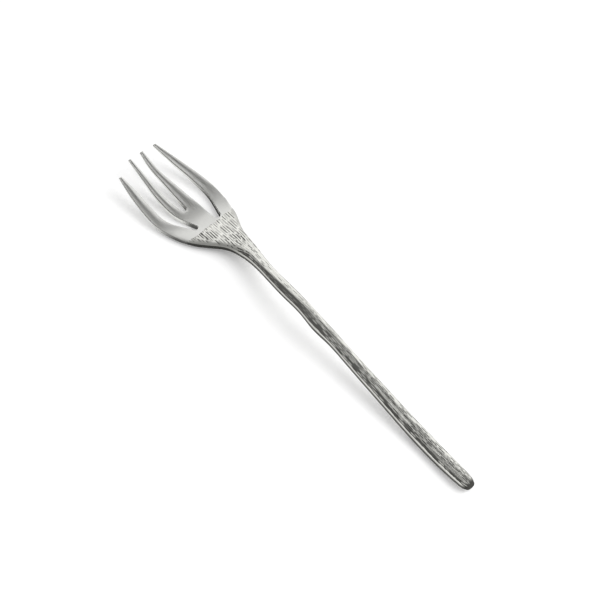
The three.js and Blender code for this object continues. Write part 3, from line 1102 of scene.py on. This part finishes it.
deepest = blend(fan, asked["Groove Depth"], asked["Stroke Depth"])
sunk = sums("MULTIPLY_ADD", hollows, asked["Hollow Depth"], sums("MULTIPLY", grooves, deepest))
inwards = sums("MULTIPLY", sunk, sums("MULTIPLY", point_value("bark"), -1.0))
facing = bark_tree.nodes.new("GeometryNodeInputNormal").outputs["Normal"]
push = add(bark_tree, "ShaderNodeVectorMath", {0: facing, "Scale": inwards}, operation="SCALE")
moves = {"Geometry": asked["Geometry"], "Offset": push.outputs["Vector"]}
moved = add(bark_tree, "GeometryNodeSetPosition", moves)
# the painted dark, with gaps at the bright flecks
dulled = sums("MULTIPLY", point_value("dull"), sums("SUBTRACT", 1.0, flecks))
darkened = sums("MAXIMUM", sums("MULTIPLY", grooves, point_value("ink")), dulled)
worn = sums("MULTIPLY", flecks, sums("MAXIMUM", point_value("dull"), least_wear))
marked = stored(stored(moved.outputs["Geometry"], "groove_and_shade", darkened), "fleck", worn)
real = add(bark_tree, "GeometryNodeRealizeInstances", {"Geometry": marked})
dressing = {"Geometry": real.outputs["Geometry"], "Material": asked["Finish"]}
dressed = add(bark_tree, "GeometryNodeSetMaterial", dressing)
bark_tree.links.new(dressed.outputs["Geometry"], carved_out["Geometry"])
print("bark tree", len(bark_tree.nodes), "nodes")

# %% [markdown]
# Clean steel has no colour of its own, so its looks come from what it mirrors and how sharply. Brushing
# leaves fine lines, and handling leaves faint smudges: both change the roughness and the tone a little from
# place to place. They could be pictures of scratches, but noise has no seams and needs no picture. Two groups
# make these effects once, and each finish takes them with its own sizes.

# %% Effects that the finishes share
brushing_inputs = {
    "Place": ("Vector", None),
    "Line Length": ("Float", 5 * MM),
    "Line Width": ("Float", 0.1 * MM),
}
brushing_outputs = {"Lines": "Float"}
line_detail = 3.0
brushing, brush_in, brush_out = new_tree("brushing", "ShaderNodeTree", brushing_inputs, brushing_outputs)
by_length = maths(brushing, "DIVIDE", 1.0, brush_in["Line Length"])
by_width = maths(brushing, "DIVIDE", 1.0, brush_in["Line Width"])
stretch = add(brushing, "ShaderNodeCombineXYZ", {"X": by_length, "Y": by_width, "Z": by_width})
drawing = {0: brush_in["Place"], 1: stretch.outputs["Vector"]}
drawn = add(brushing, "ShaderNodeVectorMath", drawing, operation="MULTIPLY")
line_noise = {"Vector": drawn.outputs["Vector"], "Scale": 1.0, "Detail": line_detail}
brush_lines = add(brushing, "ShaderNodeTexNoise", line_noise)
brushing.links.new(brush_lines.outputs["Fac"], brush_out["Lines"])

handling_inputs = {"Place": ("Vector", None), "Smudge Size": ("Float", 8 * MM)}
handling_outputs = {"Smudges": "Float"}
smudge_detail = 4.0
smudge_steps = (0.35, 0.68)
handling, hand_in, hand_out = new_tree("handling", "ShaderNodeTree", handling_inputs, handling_outputs)
often = maths(handling, "DIVIDE", 1.0, hand_in["Smudge Size"])
smudge_noise = {"Vector": hand_in["Place"], "Scale": often, "Detail": smudge_detail}
smudge_cloud = add(handling, "ShaderNodeTexNoise", smudge_noise)
handling.links.new(mapped(handling, smudge_cloud.outputs["Fac"], *smudge_steps), hand_out["Smudges"])
print("shared effects:", brushing.name, handling.name)


# %% Helpers for the finishes
def new_finish(name, metallic):
    """New material: the material itself, its node tree, and the inputs of its shader."""
    made = bpy.data.materials.new(name)
    made.use_nodes = True
    sockets = made.node_tree.nodes["Principled BSDF"].inputs
    sockets["Metallic"].default_value = metallic
    return made, made.node_tree, sockets


def mixed(tree, factor, first, second):
    """Colour between two colours or links. A Mix node's colours are its inputs 6 and 7."""
    made = add(tree, "ShaderNodeMix", {0: factor}, data_type="RGBA")
    for index, colour in ((6, first), (7, second)):
        if isinstance(colour, bpy.types.NodeSocket):
            tree.links.new(colour, made.inputs[index])
        else:
            made.inputs[index].default_value = (*colour, 1.0)
    return made.outputs[2]


def effect(tree, group, place, **sizes):
    """Output of a shared effect at a place, with its own sizes where it has them."""
    return add(tree, "ShaderNodeGroup", {"Place": place, **sizes}, node_tree=group).outputs[0]


def attribute(tree, label):
    return add(tree, "ShaderNodeAttribute", attribute_name=label).outputs["Fac"]


def object_place(tree):
    return add(tree, "ShaderNodeTexCoord").outputs["Object"]


def bumped(tree, height, strength, distance):
    sizes = {"Height": height, "Strength": strength, "Distance": distance}
    return add(tree, "ShaderNodeBump", sizes).outputs["Normal"]


print("finish helpers ready")

# %% [markdown]
# The head has a satin finish: a fine belt leaves lines along the tines, hands leave smudges, and the edges
# are worn smoother. Stretched scratches in a fixed direction would miss the turn of the head, so the lines
# follow the plan that the points carry. On the walls of the slots and along and under the near rim the
# finish turns into painted shade: dark, plain and not a metal.

# %% Satin steel of the head
satin_dark = (0.72, 0.72, 0.696)
satin_light = (0.84, 0.84, 0.812)
satin_smudge = (0.65, 0.65, 0.627)
satin_edge = (0.79, 0.79, 0.763)
# colour of the painted shade on the slot ends and the near rim
satin_painted_shade = (0.05, 0.05, 0.047)
satin_smudged, satin_polished = 0.25, 0.5     # most of the smudges' and the edges' colours
satin_rough = 0.24
satin_line_rough, satin_smudge_rough, satin_edge_rough = 0.14, 0.06, -0.1
satin_bump = {"strength": 0.12, "distance": 0.02 * MM}

satin, satin_tree, satin_in = new_finish("satin_steel", 1.0)
plan_parts = {"X": attribute(satin_tree, "run"), "Y": attribute(satin_tree, "side")}
plan_place = add(satin_tree, "ShaderNodeCombineXYZ", plan_parts).outputs["Vector"]
satin_lines = effect(satin_tree, brushing, plan_place)
satin_smudges = effect(satin_tree, handling, object_place(satin_tree))
polish = attribute(satin_tree, "edge")
# share of painted shade, kept on the points as wall
painted_shade = attribute(satin_tree, "wall")
smudge_share = maths(satin_tree, "MULTIPLY", satin_smudges, satin_smudged)
polish_share = maths(satin_tree, "MULTIPLY", polish, satin_polished)
satin_colour = mixed(satin_tree, satin_lines, satin_dark, satin_light)
satin_colour = mixed(satin_tree, smudge_share, satin_colour, satin_smudge)
satin_colour = mixed(satin_tree, polish_share, satin_colour, satin_edge)
satin_colour = mixed(satin_tree, painted_shade, satin_colour, satin_painted_shade)
roughness = maths(satin_tree, "MULTIPLY_ADD", satin_lines, satin_line_rough, satin_rough)
roughness = maths(satin_tree, "MULTIPLY_ADD", satin_smudges, satin_smudge_rough, roughness)
roughness = maths(satin_tree, "MULTIPLY_ADD", polish, satin_edge_rough, roughness)
satin_in["Specular IOR Level"].default_value = 0.0
satin_tree.links.new(satin_colour, satin_in["Base Color"])
satin_tree.links.new(maths(satin_tree, "SUBTRACT", 1.0, painted_shade), satin_in["Metallic"])
satin_tree.links.new(roughness, satin_in["Roughness"])
satin_tree.links.new(bumped(satin_tree, satin_lines, **satin_bump), satin_in["Normal"])
print(satin.name, len(satin_tree.nodes), "nodes")

# %% [markdown]
# The stem has bright ridges over dark grooves. The ridges are polished steel with short hairlines, and the
# grooves keep an oxide that is dark and hardly a metal. The flanks take the same dark as painted shade. One
# could leave the dark to the relief alone, but so fine a relief mirrors too much white here. So the finish
# goes from steel to that dark by the number on the points, and the flecks are steel again, only rougher.

# %% Bark steel of the stem
ridge_dark = (0.8, 0.798, 0.755)
ridge_light = (0.93, 0.928, 0.88)
ridge_smudge = (0.66, 0.658, 0.615)
# the dark of the oxide in the grooves, and of the painted shade on the flanks
oxide_and_painted_shade = (0.05, 0.0498, 0.046)
ridge_smudged = 0.3                     # most of the smudges' colour
oxide_and_shade_steps = (0.05, 0.95)
oxide_and_shade_metallic = 0.1
ridge_rough = 0.14
hair_rough, oxide_and_shade_rough, fleck_rough = 0.08, 0.3, 0.5
hair_sizes = {"Line Length": 2 * MM, "Line Width": 0.12 * MM}
bark_smudge_sizes = {"Smudge Size": 4 * MM}
hair_bump = {"strength": 0.3, "distance": 0.05 * MM}

bark, bark_nodes, bark_in = new_finish("bark_steel", 1.0)
on_stem = object_place(bark_nodes)
# darkness of the grooves' oxide and of the painted shade, from the points
oxide_and_shade = attribute(bark_nodes, "groove_and_shade")
hairs = effect(bark_nodes, brushing, on_stem, **hair_sizes)
bark_smudges = effect(bark_nodes, handling, on_stem, **bark_smudge_sizes)
bark_colour = mixed(bark_nodes, hairs, ridge_dark, ridge_light)
ridge_share = maths(bark_nodes, "MULTIPLY", bark_smudges, ridge_smudged)
bark_colour = mixed(bark_nodes, ridge_share, bark_colour, ridge_smudge)
bark_colour = mixed(bark_nodes, mapped(bark_nodes, oxide_and_shade, *oxide_and_shade_steps), bark_colour, oxide_and_painted_shade)
bark_metal = mapped(bark_nodes, oxide_and_shade, *oxide_and_shade_steps, 1.0, oxide_and_shade_metallic)
bark_rough = maths(bark_nodes, "MULTIPLY_ADD", hairs, hair_rough, ridge_rough)
bark_rough = maths(bark_nodes, "MULTIPLY_ADD", oxide_and_shade, oxide_and_shade_rough, bark_rough)
bark_rough = maths(bark_nodes, "MULTIPLY_ADD", attribute(bark_nodes, "fleck"), fleck_rough, bark_rough)
bark_in["Specular IOR Level"].default_value = 0.0
bark_nodes.links.new(bark_colour, bark_in["Base Color"])
bark_nodes.links.new(bark_metal, bark_in["Metallic"])
bark_nodes.links.new(bark_rough, bark_in["Roughness"])
bark_nodes.links.new(bumped(bark_nodes, hairs, **hair_bump), bark_in["Normal"])
print(bark.name, len(bark_nodes.nodes), "nodes")

# %% [markdown]
# The sleeve is brazing metal that flowed round the tang and set: pale yellow, matt and a little blotchy. It
# could get a mesh of its own, but it is hidden in the socket. So the solid of the CAD model stays, with a
# plain blotchy finish.

# %% Brazing alloy of the sleeve
braze_light = (0.72, 0.66, 0.46)
braze_dark = (0.55, 0.48, 0.3)
braze_smudge_sizes = {"Smudge Size": 3 * MM}
braze_rough, braze_smudge_rough = 0.4, 0.2

braze, braze_tree, braze_in = new_finish("brazing_alloy", 1.0)
braze_smudges = effect(braze_tree, handling, object_place(braze_tree), **braze_smudge_sizes)
braze_roughness = maths(braze_tree, "MULTIPLY_ADD", braze_smudges, braze_smudge_rough, braze_rough)
braze_tree.links.new(mixed(braze_tree, braze_smudges, braze_light, braze_dark), braze_in["Base Color"])
braze_tree.links.new(braze_roughness, braze_in["Roughness"])
print(braze.name, len(braze_tree.nodes), "nodes")

# %% [markdown]
# The bark tree runs once on the stem. The carved mesh takes the place of the plain one, and the modifier
# goes, so that what is measured is what is seen. Then the pieces get their finishes and ride on the one
# body of the fork, each in place of its coarse solid.

# %% Carve the bark, and dress the pieces
carving = stem.modifiers.new("bark_relief", "NODES")
carving.node_group = bark_tree
for socket in bark_tree.interface.items_tree:
    if socket.in_out == "INPUT" and socket.name in bark_values:
        carving[socket.identifier] = bark_values[socket.name]
    if socket.in_out == "INPUT" and socket.name == "Finish":
        carving[socket.identifier] = bark
graph = bpy.context.evaluated_depsgraph_get()
carved_mesh = bpy.data.meshes.new_from_object(stem.evaluated_get(graph))
stem.modifiers.remove(carving)
stem.data = carved_mesh
head.data.materials.append(satin)
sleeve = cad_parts["braze_sleeve"]
sleeve.data.materials.clear()
sleeve.data.materials.append(braze)
print("stem carved:", len(stem.data.polygons), "faces")

# %% Tie the pieces to the frame
for piece, node, finish in ((head, "tined_head", "satin_steel"), (stem, "bark_stem", "bark_steel")):
    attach(piece, "root")
    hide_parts(node)
print("pieces tied to the root body")

# %% [markdown]
# The table is a white floor, and the room is a white tent. A metal shows its surroundings, so both are
# white for reflections as well as for the camera, but they light the fork only at a plain level. One soft
# lamp from the right casts the shadow. Three grey cards, which only reflections see, give the steel its
# darks, as a photographer would do it: one on the left, one overhead and a paler one past the heel.


# %% Floor and tent
def seen_directly(tree):
    """1 for rays from the camera, and for rays that were mirrored or let through."""
    path = add(tree, "ShaderNodeLightPath").outputs
    mirrored = maths(tree, "MAXIMUM", path["Is Glossy Ray"], path["Is Transmission Ray"])
    return maths(tree, "MAXIMUM", path["Is Camera Ray"], mirrored)


def flat_panel(name, width, height, finish):
    """New level rectangle at the origin, marked as part of the stage."""
    half_width, half_height = width / 2, height / 2
    corners = [
        (-half_width, -half_height, 0),
        (half_width, -half_height, 0),
        (half_width, half_height, 0),
        (-half_width, half_height, 0),
    ]
    mesh = bpy.data.meshes.new(name)
    mesh.from_pydata(corners, [], [[0, 1, 2, 3]])
    mesh.materials.append(finish)
    made = bpy.data.objects.new(name, mesh)
    bpy.context.scene.collection.objects.link(made)
    made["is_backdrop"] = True
    return made


white = (1, 1, 1, 1)
floor_size = 4.0
floor_white = 0.88
floor_lift = 0.16                       # brings the lit paper to a clean white on the picture
ambient = 0.75
paper, paper_tree, paper_in = new_finish("white_paper", 0.0)
paper_in["Base Color"].default_value = (floor_white, floor_white, floor_white, 1)
paper_in["Roughness"].default_value = 1.0
paper_in["Specular IOR Level"].default_value = 0.0
paper_in["Emission Color"].default_value = white
paper_glow = maths(paper_tree, "MULTIPLY", seen_directly(paper_tree), floor_lift)
paper_tree.links.new(paper_glow, paper_in["Emission Strength"])
flat_panel("floor", floor_size, floor_size, paper)

world = bpy.data.worlds.new("white_tent")
bpy.context.scene.world = world
world.use_nodes = True
world_tree = world.node_tree
tent = world_tree.nodes["Background"].inputs
tent["Color"].default_value = white
tent_strength = mapped(world_tree, seen_directly(world_tree), 0.0, 1.0, ambient, 1.0)
world_tree.links.new(tent_strength, tent["Strength"])
print("floor and tent are white")

# %% Lamp and cards
lamp = {"direction": (-0.84, -0.55, 1.0), "distance": 1.0, "size": 0.7, "power": 6.5}
# each card: direction from the fork, distance, width, height and grey
cards = {
    "left_card": ((0.37, 0.62, 0.7), 1.0, 2.0, 1.34, 0.2),
    "overhead_card": ((-0.08, -0.33, 0.93), 1.3, 1.85, 0.8, 0.12),
    "back_card": ((-0.85, 0.0, 0.5), 1.3, 3.2, 0.9, 0.4),
}


def turn_to_fork(made, direction, distance):
    """Puts a lamp or a card in a direction from the fork, facing it."""
    away = Vector(direction).normalized()
    made.location = away * distance
    made.rotation_euler = away.to_track_quat("Z", "Y").to_euler()


def soft_lamp(name, direction, distance, size, power):
    """New square lamp that neither the camera nor reflections see."""
    data = bpy.data.lights.new(name, "AREA")
    data.size = size
    data.energy = power
    made = bpy.data.objects.new(name, data)
    made.visible_camera = False
    made.visible_glossy = False
    bpy.context.scene.collection.objects.link(made)
    turn_to_fork(made, direction, distance)


def dark_card(name, direction, distance, width, height, grey):
    """New grey card that only reflections see."""
    finish = bpy.data.materials.new(name)
    finish.use_nodes = True
    tree = finish.node_tree
    glow = add(tree, "ShaderNodeEmission", {"Color": (grey, grey, grey, 1)})
    tree.links.new(glow.outputs["Emission"], tree.nodes["Material Output"].inputs["Surface"])
    made = flat_panel(name, width, height, finish)
    made.visible_camera = False
    made.visible_diffuse = False
    made.visible_shadow = False
    made.visible_transmission = False
    turn_to_fork(made, direction, distance)


soft_lamp("key_lamp", **lamp)
for name, card in cards.items():
    dark_card(name, *card)
print("one lamp and", len(cards), "cards")

# %% [markdown]
# The last step sets a plain view transform, so that white paper stays white, and writes down the box of the
# CAD model and the box of what is seen. The second has to lie inside the first.

# %% Measure and finish
bpy.context.scene.view_settings.view_transform = "Standard"
boxes = {"cad": cad_box, "visual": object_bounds()}
for name, box in boxes.items():
    print(name, "box in mm", [[round(x / MM, 2) for x in corner] for corner in box])
